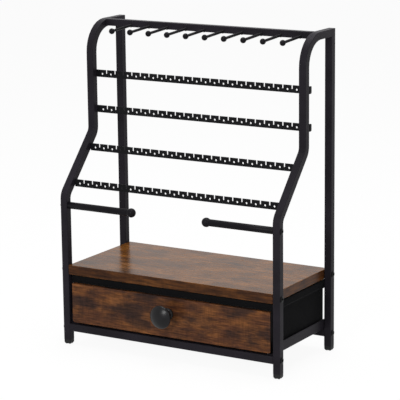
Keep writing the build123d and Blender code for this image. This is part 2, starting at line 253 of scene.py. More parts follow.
def add_shades(
    tree: Tree, value: Socket, stops: Sequence[float], shades: Sequence[str]
) -> Socket:
    """Adds a ramp of sRGB hex colours over a value, each at its position.

    Args:
        tree: Node tree that gets the nodes.
        value: Value that picks the colour.
        stops: Position of each colour, from left to right.
        shades: Colour of each stop.

    Returns:
        The colour.
    """
    node = add_node(tree, "ShaderNodeValToRGB", {"Fac": value})
    elements = node.color_ramp.elements
    while len(elements) < len(stops):
        elements.new(0.5)
    for element, position, code in zip(elements, stops, shades):
        element.position = position
        element.color = linear_from_hex(code)
    return node.outputs["Color"]


def add_relief(
    tree: Tree, height: Socket, depth: float, strength: float = 0.3
) -> Socket:
    """Gives the normal of a fine relief from its height, 0 to 1, and depth."""
    inputs = {"Height": height, "Strength": strength, "Distance": depth}
    return add_node(tree, "ShaderNodeBump", inputs).outputs["Normal"]


# ------------------------------------------------------------------ finishes


@dataclass(frozen=True)
class Finish:
    """A surface finish that makes one node material, shared by its pieces."""

    name: str

    def material(self) -> bpy.types.Material:
        """Makes the material the first time and hands back the same one after that.

        Returns:
            The material.
        """
        made = bpy.data.materials.get(self.name)
        if made is None:
            made = bpy.data.materials.new(self.name)
            made.use_nodes = True
            made.node_tree.nodes.clear()
            surface = self.surface(made.node_tree)
            add_node(made.node_tree, "ShaderNodeOutputMaterial", {"Surface": surface})
        return made

    def surface(self, tree: Tree) -> Socket:
        """Gives the shader that covers a piece."""
        shader = add_node(tree, "ShaderNodeBsdfPrincipled", self.inputs(tree))
        return shader.outputs["BSDF"]

    def inputs(self, tree: Tree) -> Inputs:
        """Wires the finish's own nodes.

        Args:
            tree: Node tree of the material.

        Returns:
            What each socket of the Principled shader gets.
        """
        raise NotImplementedError(self.name)


@dataclass(frozen=True)
class PowderCoat(Finish):
    """Powder baked on steel: a dark satin film with slow shade changes.

    A fine orange peel shows in both gloss and relief.
    """

    shades: Shades = ("#1a181c", "#221f25")
    roughness: float = 0.38
    gloss_spread: Point = (-0.05, 0.06)
    shine: float = 0.06
    relief: float = 0.06 * MM
    peel: Spots = Spots(1.4 * MM)
    cloud: Spots = Spots(40 * MM, detail=4.0)

    def inputs(self, tree: Tree) -> Inputs:
        """Wires the shade changes, the satin range of roughness and the orange peel.

        Args:
            tree: Node tree that gets the nodes.

        Returns:
            What each socket of the shader gets.
        """
        place = add_node(tree, "ShaderNodeTexCoord").outputs["Object"]
        cloud = add_noise(tree, place, self.cloud)
        peel = add_noise(tree, place, self.peel)
        satin = [self.roughness + spread for spread in self.gloss_spread]
        return {
            "Base Color": add_shades(tree, cloud, NOISE_SPAN, self.shades),
            "Roughness": add_range(tree, peel, NOISE_SPAN, satin),
            "Normal": add_relief(tree, peel, self.relief, strength=0.22),
            "IOR": FILM_IOR,
            "Specular IOR Level": self.shine,
        }


@dataclass(frozen=True)
class RusticBoard(Finish):
    """Particle board faced with rustic brown decor film under a satin lacquer.

    Broad warm and dark fields, drawn-out grain, scorched patches, faint saw marks
    across the grain and fine pores give the look. The piece's UV map "grain" lays
    the grain along every face.
    """

    seed: float = 0.0
    patch_seed: float = 0.0
    scorched: str = "#1b1417"
    shades: Shades = ("#301b0f", "#4a2b17", "#6d401d", "#89542f")
    shade_stops: tuple[float, ...] = (0.36, 0.46, 0.56, 0.68)
    grain_share: float = 0.5
    patch_share: float = 0.9
    patch_from: float = 0.46
    patch_fade: float = 0.14
    saw_span: Point = (0.35, 0.65)
    saw_shade: Point = (0.86, 1.08)
    pore_span: Point = (0.36, 0.62)
    pore_shade: Point = (0.48, 1.24)
    roughness: float = 0.3
    gloss_spread: Point = (-0.05, 0.08)
    shine: float = 0.1
    relief: float = 0.06 * MM
    fields: Spots = Spots(24 * MM, along=2.0, detail=4.0, roughness=0.58)
    grain: Spots = Spots(4.2 * MM, along=16.0, detail=6.0, roughness=0.62)
    patches: Spots = Spots(30 * MM, along=2.2, detail=6.0, roughness=0.6)
    saw_marks: Spots = Spots(2.2 * MM, along=9.0)
    fibres: Spots = Spots(1.9 * MM, along=11.0, detail=4.0, roughness=0.7)

    def inputs(self, tree: Tree) -> Inputs:
        """Wires the fields, grain, patches, saw marks, pores and the satin film.

        Args:
            tree: Node tree that gets the nodes.

        Returns:
            What each socket of the shader gets.
        """
        place = add_node(tree, "ShaderNodeUVMap", uv_map="grain").outputs["UV"]
        fields, grain, fibres = (
            add_noise(tree, place, spots, self.seed)
            for spots in (self.fields, self.grain, self.fibres)
        )
        figure = add_mix(tree, self.grain_share, fields, grain)
        wood = add_shades(tree, figure, self.shade_stops, self.shades)
        scorch = add_range(
            tree,
            add_noise(tree, place, self.patches, self.patch_seed),
            (self.patch_from, self.patch_from + self.patch_fade),
            (0.0, self.patch_share),
        )
        colour = add_mix(tree, scorch, wood, linear_from_hex(self.scorched), "MIX")
        quarter_turn = {"Vector": place, "Rotation": (0, 0, math.pi / 2)}
        across = add_node(tree, "ShaderNodeMapping", quarter_turn)
        saw_marks = add_noise(tree, across.outputs["Vector"], self.saw_marks, self.seed)
        for value, source, target in (
            (saw_marks, self.saw_span, self.saw_shade),
            (fibres, self.pore_span, self.pore_shade),
        ):
            shade = add_range(tree, value, source, target)
            colour = add_mix(tree, 1.0, colour, shade, "MULTIPLY")
        film = [self.roughness + spread for spread in self.gloss_spread]
        return {
            "Base Color": colour,
            "Roughness": add_range(tree, grain, NOISE_SPAN, film),
            "Normal": add_relief(tree, fibres, self.relief, strength=0.25),
            "IOR": FILM_IOR,
            "Specular IOR Level": self.shine,
        }


@dataclass(frozen=True)
class WovenCloth(Finish):
    """Polyester plain weave over stiffening board: matt black.

    Warp and weft as a faint relief and shade on the piece's UV map "cloth", and a
    slow wear of the shade, give the look.
    """

    shades: Shades = ("#0c0c0d", "#161617")
    # Real threads are about 0.6 mm apart; drawn wider so that the weave shows.
    thread: float = 1.5 * MM
    wave_length: float = 0.314  # Blender's wave bands repeat after this, over scale
    weave_share: float = 0.6
    shade_stops: Point = (0.15, 0.75)
    relief: float = 0.2 * MM
    roughness: float = 0.88
    wear: Spots = Spots(25 * MM, detail=5.0)

    def inputs(self, tree: Tree) -> Inputs:
        """Wires warp and weft on the piece's own UV map, and slow shade changes.

        Args:
            tree: Node tree that gets the nodes.

        Returns:
            What each socket of the shader gets.
        """
        surface = add_node(tree, "ShaderNodeUVMap", uv_map="cloth").outputs["UV"]
        bands = {
            "Vector": surface,
            "Scale": self.wave_length / self.thread,
            "Distortion": 0.5,
            "Detail": 1.0,
        }
        warp, weft = (
            add_node(
                tree,
                "ShaderNodeTexWave",
                bands,
                wave_type="BANDS",
                bands_direction=direction,
            ).outputs["Fac"]
            for direction in ("X", "Y")
        )
        weave = add_math(tree, "MULTIPLY", warp, weft)
        place = add_node(tree, "ShaderNodeTexCoord").outputs["Object"]
        wear = add_noise(tree, place, self.wear)
        blend = add_mix(tree, self.weave_share, wear, weave)
        return {
            "Base Color": add_shades(tree, blend, self.shade_stops, self.shades),
            "Normal": add_relief(tree, weave, self.relief, strength=0.5),
            "Roughness": self.roughness,
            "Specular IOR Level": 0.03,
            "Sheen Weight": 0.01,
            "Sheen Roughness": 0.5,
        }


@dataclass(frozen=True)
class MottledSurface(Finish):
    """A surface whose shade follows one noise, and so do its gloss and relief.

    Its roughness is a range for the noise to vary, or one value.
    """

    shades: Shades
    spots: Spots
    span: Point = NOISE_SPAN
    roughness: Point | float = 0.55
    shine: float = 0.2
    ior: float = FILM_IOR
    relief: float = 0.0
    metallic: float = 0.0

    def inputs(self, tree: Tree) -> Inputs:
        """Wires the shade, and the gloss and relief where the surface has them.

        Args:
            tree: Node tree that gets the nodes.

        Returns:
            What each socket of the shader gets.
        """
        place = add_node(tree, "ShaderNodeTexCoord").outputs["Object"]
        mottle = add_noise(tree, place, self.spots)
        wired: Inputs = {
            "Base Color": add_shades(tree, mottle, self.span, self.shades),
            "Roughness": self.roughness,
            "IOR": self.ior,
            "Specular IOR Level": self.shine,
            "Metallic": self.metallic,
        }
        if isinstance(self.roughness, tuple):
            wired["Roughness"] = add_range(tree, mottle, NOISE_SPAN, self.roughness)
        if self.relief:
            wired["Normal"] = add_relief(tree, mottle, self.relief)
        return wired


@dataclass(frozen=True)
class StudioPaper(Finish):
    """White studio paper: the camera sees it as white, and it keeps a light shadow."""

    shadow_share: float = 0.07
    own_colour: str = "#f2f2f2"

    def inputs(self, tree: Tree) -> Inputs:
        """Gives the paper's own colour, for the light that it throws back."""
        return {"Base Color": linear_from_hex(self.own_colour), "Roughness": 0.9}

    def surface(self, tree: Tree) -> Socket:
        """Mixes the paper with plain white for rays from the camera and reflections.

        Args:
            tree: Node tree that gets the nodes.

        Returns:
            The mixed shader.
        """
        paper = super().surface(tree)
        share = add_math(tree, "MULTIPLY", seen_by_eye(tree), 1 - self.shadow_share)
        white = add_node(tree, "ShaderNodeEmission", {"Color": WHITE, "Strength": 1.0})
        inputs = {0: share, 1: paper, 2: white.outputs["Emission"]}
        return add_node(tree, "ShaderNodeMixShader", inputs).outputs["Shader"]


FRAME_COAT = PowderCoat("powder_coated_tube")
STRIP_COAT = PowderCoat(
    "powder_coated_strip", shades=("#0d0d0f", "#141416"), roughness=0.46, shine=0.07
)
ROD_COAT = PowderCoat(
    "powder_coated_rod", shades=("#0c0b0e", "#131115"), roughness=0.4, shine=0.07
)
BOLT_COAT = PowderCoat(
    "black_oxide_bolt",
    shades=("#050506", "#0c0c0e"),
    roughness=0.28,
    shine=0.12,
    peel=Spots(0.9 * MM),
)
SHELF_DECOR = RusticBoard(
    "rustic_shelf_decor",
    seed=0.37,
    shades=("#42260f", "#5c3715", "#754819", "#8c5925"),
    patch_share=0.6,
    patch_from=0.55,
    roughness=0.22,
)
# Painted shade: a darker copy of the shelf decor for the shelf's less-lit edges.
SHELF_EDGE_SHADE = RusticBoard(
    "rustic_edge_painted_shade",
    seed=0.52,
    shades=("#2a160a", "#3d220f", "#523014", "#69411f"),
    patch_share=0.5,
    patch_from=0.58,
)
# Painted shade: near-black decor on the drawer front's end faces, shadowed by the
# posts.
FRONT_END_SHADE = RusticBoard(
    "front_end_painted_shade",
    shades=("#070606", "#0b0909", "#100d0c", "#15110f"),
    roughness=0.6,
    shine=0.03,
)
FRONT_DECOR = RusticBoard(
    "rustic_front_decor",
    seed=1.9,
    patch_seed=7.9,
    scorched="#1d1718",
    shades=("#41271b", "#52311e", "#6a4122", "#82522e"),
    grain_share=0.36,
    patch_share=0.75,
)
BIN_CLOTH = WovenCloth("woven_bin_cloth")
LINER_CLOTH = WovenCloth(
    "woven_liner_cloth", shades=("#111113", "#1e1e21"), thread=1.8 * MM
)
# Spun polyester, whose twist breaks up a soft sheen.
SEAM_THREAD = MottledSurface(
    "spun_seam_thread",
    shades=("#0f0f11", "#1e1e21"),
    spots=Spots(0.8 * MM, detail=1.0),
    span=(0.35, 0.65),
    roughness=0.6,
)
# Matt polyethylene with the mould's spark-eroded grain.
FOOT_PLASTIC = MottledSurface(
    "moulded_foot_plastic",
    shades=("#101011", "#19191b"),
    spots=Spots(0.5 * MM),
    ior=1.51,
    relief=0.05 * MM,
)
# Satin black lacquer on die-cast zinc, whose gloss handling has varied.
KNOB_LACQUER = MottledSurface(
    "lacquered_zinc_knob",
    shades=("#060607", "#0e0d10"),
    spots=Spots(9 * MM, detail=3.0),
    roughness=(0.27, 0.34),
    shine=0.22,
)
# Bright zinc on steel, with rolled streaks.
SCREW_PLATE = MottledSurface(
    "zinc_plated_screw",
    shades=("#8f9092", "#c2c2bf"),
    spots=Spots(1.2 * MM, along=3.0, detail=3.0),
    roughness=(0.25, 0.45),
    shine=0.5,
    metallic=1.0,
)


# ------------------------------------------------------------------ mesh helpers


def select_only(*pieces: Piece) -> None:
    """Selects these pieces and nothing else, with the first one active.

    Args:
        pieces: Objects to select.
    """
    bpy.ops.object.select_all(action="DESELECT")
    for piece in pieces:
        piece.select_set(True)
    bpy.context.view_layer.objects.active = pieces[0]


@contextmanager
def edit_mode(piece: Piece) -> Iterator[None]:
    """Opens a piece alone in edit mode and closes it again.

    Args:
        piece: Mesh object to edit.
    """
    select_only(piece)
    bpy.ops.object.mode_set(mode="EDIT")
    try:
        yield
    finally:
        bpy.ops.object.mode_set(mode="OBJECT")


def everything(element: object) -> bool:
    """Passes every point, edge and face."""
    return True


def lies_at(axis: int, place: float) -> Test:
    """Gives a test for edges and faces that lie at a place along an axis."""
    return lambda part: all(abs(v.co[axis] - place) < TOUCH for v in part.verts)


def runs_along(axis: int) -> Test:
    """Gives a test for edges that go more than a millimetre along an axis."""
    return lambda edge: abs(edge.verts[0].co[axis] - edge.verts[1].co[axis]) > MM


def pick(piece: Piece, kind: str, wanted: Test = everything) -> None:
    """Selects what a test names in edit mode, and nothing else.

    Args:
        piece: Mesh object in edit mode.
        kind: "verts", "edges" or "faces".
        wanted: Test that is given each element.
    """
    kinds = ("verts", "edges", "faces")
    bpy.context.tool_settings.mesh_select_mode = [kind == other for other in kinds]
    bpy.ops.mesh.select_all(action="DESELECT")
    mesh = bmesh.from_edit_mesh(piece.data)
    for element in getattr(mesh, kind):
        if wanted(element):
            element.select_set(True)
    mesh.select_flush_mode()
    bmesh.update_edit_mesh(piece.data)


def round_edges(piece: Piece, wanted: Test, width: float, steps: int) -> None:
    """Rounds the edges that a test names, in edit mode."""
    pick(piece, "edges", wanted)
    bpy.ops.mesh.bevel(offset=width, segments=steps, affect="EDGES")


def round_outline(piece: Piece, width: float, steps: int) -> None:
    """Rounds the corners of a flat face, in edit mode."""
    pick(piece, "verts")
    bpy.ops.mesh.bevel(offset=width, segments=steps, affect="VERTICES")


def extrude(by: Sequence[float]) -> None:
    """Draws out what is selected in edit mode."""
    bpy.ops.mesh.extrude_region_move(TRANSFORM_OT_translate={"value": by})


def tidy_mesh(piece: Piece) -> None:
    """Merges doubled points and points all faces outwards.

    Args:
        piece: Mesh object to clean.
    """
    with edit_mode(piece):
        bpy.ops.mesh.select_all(action="SELECT")
        bpy.ops.mesh.remove_doubles(threshold=1e-6)
        bpy.ops.mesh.normals_make_consistent(inside=False)


def add_shape(operator: Callable, name: str, **settings: object) -> Piece:
    """Adds one of Blender's plain shapes and works its place into its mesh.

    Args:
        operator: Operator that adds the shape.
        name: Name of the piece.
        settings: Settings of the operator, such as size and location.

    Returns:
        The piece, at the origin.
    """
    bpy.ops.object.select_all(action="DESELECT")
    operator(**settings)
    piece = bpy.context.object
    piece.name = name
    bpy.ops.object.transform_apply(location=True, rotation=True, scale=True)
    return piece


def add_block(low: Vector, high: Vector, name: str) -> Piece:
    """Makes a plain block from its lowest and highest corners."""
    place = {"location": (low + high) / 2, "scale": high - low}
    return add_shape(bpy.ops.mesh.primitive_cube_add, name, size=1, **place)


def add_panel(middle: Vector, span: Vector, name: str, **settings: object) -> Piece:
    """Makes a flat face of one metre, then stretches it to its span at its place.

    Args:
        middle: Where its middle goes.
        span: How far it reaches along X, Y and Z.
        name: Name of the piece.
        settings: Other settings, such as its rotation.

    Returns:
        The face.
    """
    panel = add_shape(bpy.ops.mesh.primitive_plane_add, name, size=1, **settings)
    stretch = Matrix.Diagonal((*span, 1))
    panel.data.transform(Matrix.Translation(middle) @ stretch)
    return panel


def modify(piece: Piece, kind: str, **settings: object) -> None:
    """Gives a piece a modifier with its settings and applies it.

    Args:
        piece: Mesh object to change.
        kind: Blender's type name of the modifier.
        settings: Attributes of the modifier.
    """
    modifier = piece.modifiers.new(kind.lower(), kind)
    for key, value in settings.items():
        setattr(modifier, key, value)
    select_only(piece)
    bpy.ops.object.modifier_apply(modifier=modifier.name)


def combine(piece: Piece, tool: Piece, operation: str) -> None:
    """Adds another piece to a piece, or cuts it away, and deletes that other piece."""
    modify(piece, "BOOLEAN", operation=operation, object=tool)
    bpy.data.objects.remove(tool)


def soften(piece: Piece, width: float, steps: int) -> None:
    """Rounds every edge of a piece that is sharper than 60 degrees."""
    sharp = {"limit_method": "ANGLE", "angle_limit": math.radians(60)}
    modify(piece, "BEVEL", width=width, segments=steps, **sharp)


def smooth(piece: Piece, degrees: float = 35.0, keep_flats: bool = False) -> None:
    """Shades a piece smooth, with sharp edges above an angle.

    Args:
        piece: Mesh object at the origin.
        degrees: Angle above which an edge stays sharp.
        keep_flats: True to keep wide faces flat between rounded edges.
    """
    select_only(piece)
    bpy.ops.object.shade_smooth_by_angle(angle=math.radians(degrees))
    if keep_flats:
        modify(piece, "WEIGHTED_NORMAL", keep_sharp=True, weight=50)


def placed_copy(model: Piece, place: Matrix, name: str) -> Piece:
    """Copies a model with its own mesh, and works the copy's place into the mesh.

    Args:
        model: Piece to copy.
        place: Where the copy goes.
        name: Its name.

    Returns:
        The copy.
    """
    copy = model.copy()
    copy.data = model.data.copy()
    copy.data.transform(place)
    copy.name = name
    bpy.context.collection.objects.link(copy)
    return copy


def stamp(model: Piece, places: Sequence[Matrix], name: str) -> Piece:
    """Makes one piece of copies of a model at every place, and deletes the model.

    Args:
        model: Piece to copy.
        places: Where the copies go.
        name: Name of the piece.

    Returns:
        All copies as one piece.
    """
    copies = [placed_copy(model, place, name) for place in places]
    bpy.data.objects.remove(model)
    select_only(*copies)
    if len(copies) > 1:
        bpy.ops.object.join()
    return copies[0]


def facing(origin: Sequence[float], direction: Sequence[float]) -> Matrix:
    """Gives the place that turns +Z towards a direction, at an origin."""
    turn = Vector(direction).normalized().to_track_quat("Z", "Y")
    return Matrix.Translation(origin) @ turn.to_matrix().to_4x4()


def box_of(node: str) -> tuple[Vector, Vector]:
    """Gives a solid's lowest and highest corners at rest."""
    low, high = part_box(node)
    return Vector(low), Vector(high)


def turned(profile: Sequence[Point], sides: int, name: str = "model") -> Piece:
    """Turns a closed piece about Z, ring by ring, as on a lathe.

    Args:
        profile: Radius and height of each ring, in order, in metres.
        sides: Points round each ring.
        name: Name of the piece.

    Returns:
        The piece, about the Z axis.
    """
    radius, height = profile[0]
    piece = add_shape(
        bpy.ops.mesh.primitive_circle_add,
        name,
        vertices=sides,
        radius=radius,
        fill_type="NGON",
        location=(0, 0, height),
    )
    with edit_mode(piece):
        bpy.ops.mesh.select_all(action="SELECT")
        for next_radius, next_height in profile[1:]:
            extrude((0, 0, next_height - height))
            share = next_radius / radius
            bpy.ops.transform.resize(
                value=(share, share, 1.0), center_override=(0, 0, next_height)
            )
            radius, height = next_radius, next_height
    tidy_mesh(piece)
    return piece


def arc_profile(
    middle: float, radius: float, start: float, end: float, steps: int
) -> list[Point]:
    """Gives rings on an arc whose centre is on the axis.

    Args:
        middle: Height of the arc's centre.
        radius: Radius of the arc.
        start: First angle in degrees, from outwards towards up.
        end: Last angle in degrees.
        steps: Number of stretches.

    Returns:
        Radius and height of each ring.
    """
    angles = [math.radians(start + (end - start) * n / steps) for n in range(steps + 1)]
    return [(radius * math.cos(a), middle + radius * math.sin(a)) for a in angles]


def dome_profile(
    rim: float, rise: float, top: float, end: float, steps: int
) -> list[Point]:
    """Gives rings over a dome of a given rise, from its rim to an angle near its top.

    Args:
        rim: Radius of the rim.
        rise: Height of the top over the rim.
        top: Height of the top.
        end: Last angle in degrees.
        steps: Number of stretches.

    Returns:
        Radius and height of each ring.
    """
    radius = (rim**2 + rise**2) / (2 * rise)
    sweep = math.degrees(math.asin(rim / radius))
    return arc_profile(top - radius, radius, 90 - sweep, end, steps)


def ball_profile(ball: float, rod: float, steps: int) -> list[Point]:
    """Gives rings over a ball at the origin, from below up to the rod it sits on."""
    return arc_profile(0, ball, -NEAR_POLE, math.degrees(math.acos(rod / ball)), steps)


def finish_piece(piece: Piece, finish: Finish, slot: Slot, *nodes: str) -> Piece:
    """Dresses a modelled piece, hides the solids it stands for and ties it to its body.

    Args:
        piece: Mesh object at the origin.
        finish: Its surface.
        slot: Slot whose body says where it rides; its slot name is not used here.
        nodes: Solids that it stands for.

    Returns:
        The same piece.
    """
    name, body = slot.value
    piece.data.materials.clear()
    piece.data.materials.append(finish.material())
    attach(piece, body.value)
    if nodes:
        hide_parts(*nodes)
    faces = len(piece.data.polygons)
    LOG.info("%s: %d faces, rides on %s", piece.name, faces, body.value)
    return piece


def dress_node(node: str, finish: Finish) -> Piece:
    """Gives a solid that stays in view its finish.

    Args:
        node: Name of the solid.
        finish: Its surface.

    Returns:
        The solid's object.
    """
    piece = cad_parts[node]
    piece.data.materials.clear()
    piece.data.materials.append(finish.material())
    LOG.info("%s: solid dressed in %s", node, finish.name)
    return piece


def map_faces(piece: Piece, name: str, flatten: Callable) -> None:
    """Gives a piece one UV map in metres.

    Args:
        piece: Mesh object at the origin.
        name: Name of the map.
        flatten: Turns a point and its face's normal into a place on the map.
    """
    mesh = piece.data
    while mesh.uv_layers:
        mesh.uv_layers.remove(mesh.uv_layers[0])
    layer = mesh.uv_layers.new(name=name)
    for polygon in mesh.polygons:
        for corner in polygon.loop_indices:
            spot = mesh.vertices[mesh.loops[corner].vertex_index].co
            layer.data[corner].uv = flatten(spot, polygon.normal)


def along_weave(spot: Vector, normal: Vector) -> Point:
    """Lays a point of a cloth face on the weave, seen along the face's main axis.

    Args:
        spot: Point of the face.
        normal: The face's normal.

    Returns:
        Its place on the map.
    """
    drop = max(range(3), key=lambda axis: abs(normal[axis]))
    first, second = (axis for axis in range(3) if axis != drop)
    return spot[first], spot[second]


def along_grain(spot: Vector, normal: Vector) -> Point:
    """Lays a point of a board on the decor film, with its ends on another stretch.

    Args:
        spot: Point of the face.
        normal: The face's normal.

    Returns:
        Its place on the map.
    """
    end_shift = 0.4
    if abs(normal.x) > 0.8:
        return spot.y + end_shift, spot.z + spot.x
    return spot.x, spot.y + spot.z


# ------------------------------------------------------------------ stand


@dataclass
class SquareTubeFrame:
    """Posts, end rails and crossbar of square tube, and side rails of bent sheet."""

    size: float = TUBE
    cross_size: float = 10 * MM
    corner: float = 1 * MM
    corner_steps: int = 4
    lower_bend: float = 224.2 * MM
    upper_bend: float = 306.3 * MM
    setback: float = 75.5 * MM
    slope_radius: float = 18 * MM
    top_radius: float = 40 * MM
    bend_steps: int = 8
    rail_sheet: float = 1.5 * MM
    rail_bend: float = 1.8 * MM
    sheared_edge: float = 0.25 * MM

    def draw(
        self,
        name: str,
        corners: Sequence[Vector],
        radii: Sequence[float] = (),
        size: float = TUBE,
    ) -> Piece:
        """Draws a tube from one end to another, with a bend at each corner between.

        Args:
            name: Name of the piece.
            corners: Its ends, and the corners between them in a plane square to X.
            radii: Radius of the centre line at each corner.
            size: Width of the tube.

        Returns:
            The closed tube.
        """
        spot = corners[0]
        along = (corners[1] - spot).normalized()
        piece = add_shape(
            bpy.ops.mesh.primitive_plane_add,
            name,
            size=size,
            location=spot,
            rotation=along.to_track_quat("Z", "Y").to_euler(),
        )
        with edit_mode(piece):
            round_outline(piece, self.corner, self.corner_steps)
            pick(piece, "faces")
            for index, radius in enumerate(radii, start=1):
                before = (corners[index] - corners[index - 1]).normalized()
                after = (corners[index + 1] - corners[index]).normalized()
                turn = before.angle(after)
                hand = 1 if before.cross(after).x < 0 else -1
                reach = radius * math.tan(turn / 2)
                arc_start = corners[index] - before * reach
                extrude(arc_start - spot)
                side = Vector((0, before.z, -before.y)) * hand
                bpy.ops.mesh.spin(
                    steps=self.bend_steps,
                    angle=turn,
                    center=arc_start + side * radius,
                    axis=(hand, 0, 0),
                )
                spot = corners[index] + after * reach
            extrude(corners[-1] - spot)
        tidy_mesh(piece)
        return piece

    def mitre(self, piece: Piece, corner: Vector, keep: int) -> None:
        """Cuts a tube's end at 45 degrees where the top run meets the rear post.

        Args:
            piece: Tube to cut.
            corner: Point on the cut where the two tubes' axes meet.
            keep: 1 to keep what lies above the cut, as on the top run, or -1.
        """
        with edit_mode(piece):
            # The cut's plane also crosses the front tube's upright, which stays whole.
            hindmost = corner.y - self.size
            pick(
                piece,
                "faces",
                lambda face: any(v.co.y > hindmost for v in face.verts),
            )
            bpy.ops.mesh.bisect(
                plane_co=corner,
                plane_no=(0, -keep, keep),
                use_fill=True,
                clear_inner=True,
            )
        tidy_mesh(piece)

    def coat(self, piece: Piece, node: str) -> Piece:
        """Smooths a tube or rail and gives it the frame's coat."""
        smooth(piece, keep_flats=True)
        return finish_piece(piece, FRAME_COAT, Slot.FRAME, node)

    def build_side(self, side: str) -> list[Piece]:
        """Models the front tube and the rear post of one side frame.

        Args:
            side: "left" or "right".

        Returns:
            The front tube and the rear post.
        """
        low, high = box_of(f"{side}_front_tube")
        rear_low, rear_high = box_of(f"{side}_rear_post")
        half = self.size / 2
        x = (low.x + high.x) / 2
        front, rear, top = low.y + half, rear_high.y - half, high.z - half
        corner = Vector((x, rear, top))
        route = (
            (front, low.z),
            (front, self.lower_bend),
            (front + self.setback, self.upper_bend),
            (front + self.setback, top),
            (rear + half, top),
        )
        tube = self.draw(
            f"tube_front_{side}",
            [Vector((x, y, z)) for y, z in route],
            (self.slope_radius, self.slope_radius, self.top_radius),
        )
        ends = [Vector((x, rear, z)) for z in (rear_low.z, rear_high.z)]
        post = self.draw(f"tube_rear_{side}", ends)
        self.mitre(tube, corner, keep=1)
        self.mitre(post, corner, keep=-1)
        return [
            self.coat(tube, f"{side}_front_tube"),
            self.coat(post, f"{side}_rear_post"),
        ]

    def build_side_rail(self, side: str) -> Piece:
        """Folds the angle that the drawer runs on: an upright leg and a leg inwards.

        Args:
            side: "left" or "right".

        Returns:
            The rail.
        """
        node = f"{side}_side_rail"
        low, high = box_of(node)
        outer, inner = (high.x, low.x) if side == "right" else (low.x, high.x)
        middle, span = (low + high) / 2, high - low
        middle.x, span.x = outer, 1
        upwards = (0, math.pi / 2, 0)
        rail = add_panel(middle, span, f"angle_side_{side}", rotation=upwards)
        at_outer = lies_at(X, outer)
        with edit_mode(rail):
            pick(rail, "edges", lies_at(Z, low.z))
            extrude((inner - outer, 0, 0))
            round_edges(
                rail,
                lambda edge: len(edge.link_faces) == 2 and at_outer(edge),
                self.rail_bend,
                self.corner_steps,
            )
            bpy.ops.mesh.select_all(action="SELECT")
            bpy.ops.mesh.normals_make_consistent(inside=False)
        faces = rail.data.polygons
        upright = max(faces, key=lambda face: abs(face.normal.x) * face.area)
        faces_out = upright.normal.x * (outer - inner) > 0
        modify(
            rail,
            "SOLIDIFY",
            thickness=self.rail_sheet,
            offset=-1.0 if faces_out else 1.0,
            use_even_offset=True,
        )
        soften(rail, self.sheared_edge, 2)
        tidy_mesh(rail)
        return self.coat(rail, node)

    def build(self) -> list[Piece]:
        """Models both side frames and the straight tubes between them.

        Returns:
            All tubes and rails.
        """
        pieces = []
        for side in SIGN_OF_SIDE:
            pieces += [*self.build_side(side), self.build_side_rail(side)]
        for name, node, size in (
            ("tube_bottom_front", "front_bottom_rail", self.size),
            ("tube_bottom_rear", "rear_bottom_rail", self.size),
            ("tube_crossbar", "top_crossbar", self.cross_size),
        ):
            low, high = box_of(node)
            _, y, z = (low + high) / 2
            ends = [Vector((x, y, z)) for x in (low.x, high.x)]
            pieces.append(self.coat(self.draw(name, ends, size=size), node))
        return pieces


@dataclass
class PegRow:
    """Ten rods with a ball in front, welded to the crossbar."""

    count: int = 10
    rod: float = 2 * MM
    ball: float = 4.25 * MM
    reach: float = 50 * MM
    drop: float = 2.7 * MM
    bead: float = 3.1 * MM
    bead_length: float = 1.3 * MM
    bead_toe: float = 0.3 * MM
    sunk: float = 0.1 * MM
    sides: int = 28
    ball_steps: int = 16

    def build(self) -> list[Piece]:
        """Turns one peg, ball, rod and weld bead, and copies it to its ten places.

        Returns:
            The pegs, from left to right.
        """
        length = math.hypot(self.reach, self.drop)
        # The bead swells from the rod in even steps and ends inside the crossbar.
        profile = ball_profile(self.ball, self.rod, self.ball_steps) + [
            (self.rod, length * 0.4),
            (self.rod, length - self.bead_length),
            (self.rod + self.bead_toe, length - 0.75 * self.bead_length),
            (0.9 * self.bead, length - 0.35 * self.bead_length),
            (self.bead, length + self.sunk),
        ]
        model = turned(profile, self.sides)
        smooth(model, 50)
        pegs = []
        for number in range(1, self.count + 1):
            node = f"peg_{number:02d}"
            low, high = box_of(node)
            ball = ((low.x + high.x) / 2, low.y + self.ball, low.z + self.ball)
            place = facing(ball, (0, self.reach, self.drop))
            peg = placed_copy(model, place, f"rod_{node}")
            pegs.append(finish_piece(peg, ROD_COAT, Slot.FRAME, node))
        bpy.data.objects.remove(model)
        return pegs


@dataclass
class HangingBars:
    """Two round rods with a ball at the free end, in the plane of the front posts."""

    rod: float = 5 * MM
    ball: float = 6.65 * MM
    neck: float = 1.2 * MM
    chamfer: float = 0.4 * MM
    sides: int = 40
    ball_steps: int = 18

    def build(self) -> list[Piece]:
        """Turns a rod with its ball for each side.

        Returns:
            The left bar and the right bar.
        """
        bars = []
        for side, sign in SIGN_OF_SIDE.items():
            node = f"{side}_hanging_bar"
            low, high = box_of(node)
            _, y, z = (low + high) / 2
            post_x, free_x = (high.x, low.x) if sign > 0 else (low.x, high.x)
            ball_x = free_x + sign * self.ball
            length = abs(post_x - ball_x)
            profile = ball_profile(self.ball, self.rod, self.ball_steps)
            profile += [
                (self.rod, profile[-1][1] + self.neck),
                (self.rod, length * 0.5),
                (self.rod, length - self.chamfer),
                (self.rod - self.chamfer, length),
            ]
            bar = turned(profile, self.sides, f"rod_hanging_{side}")
            bar.data.transform(facing((ball_x, y, z), (sign, 0, 0)))
            smooth(bar, 50)
            bars.append(finish_piece(bar, ROD_COAT, Slot.FRAME, node))
        return bars


@dataclass
class KeptSolids:
    """Punched strips, threaded inserts and washers, whose solids stay in view."""

    strips: int = 4

    def build(self) -> list[Piece]:
        """Dresses the solids.

        Returns:
            The solids' objects.
        """
        names = [f"slotted_strip_{number}" for number in range(1, self.strips + 1)]
        pieces = [dress_node(name, STRIP_COAT) for name in names]
        for name in (
            "board_inserts",
            "rail_inserts",
            "front_screw_washers",
            "knob_screw_washer",
        ):
            pieces.append(dress_node(name, SCREW_PLATE))
        return pieces


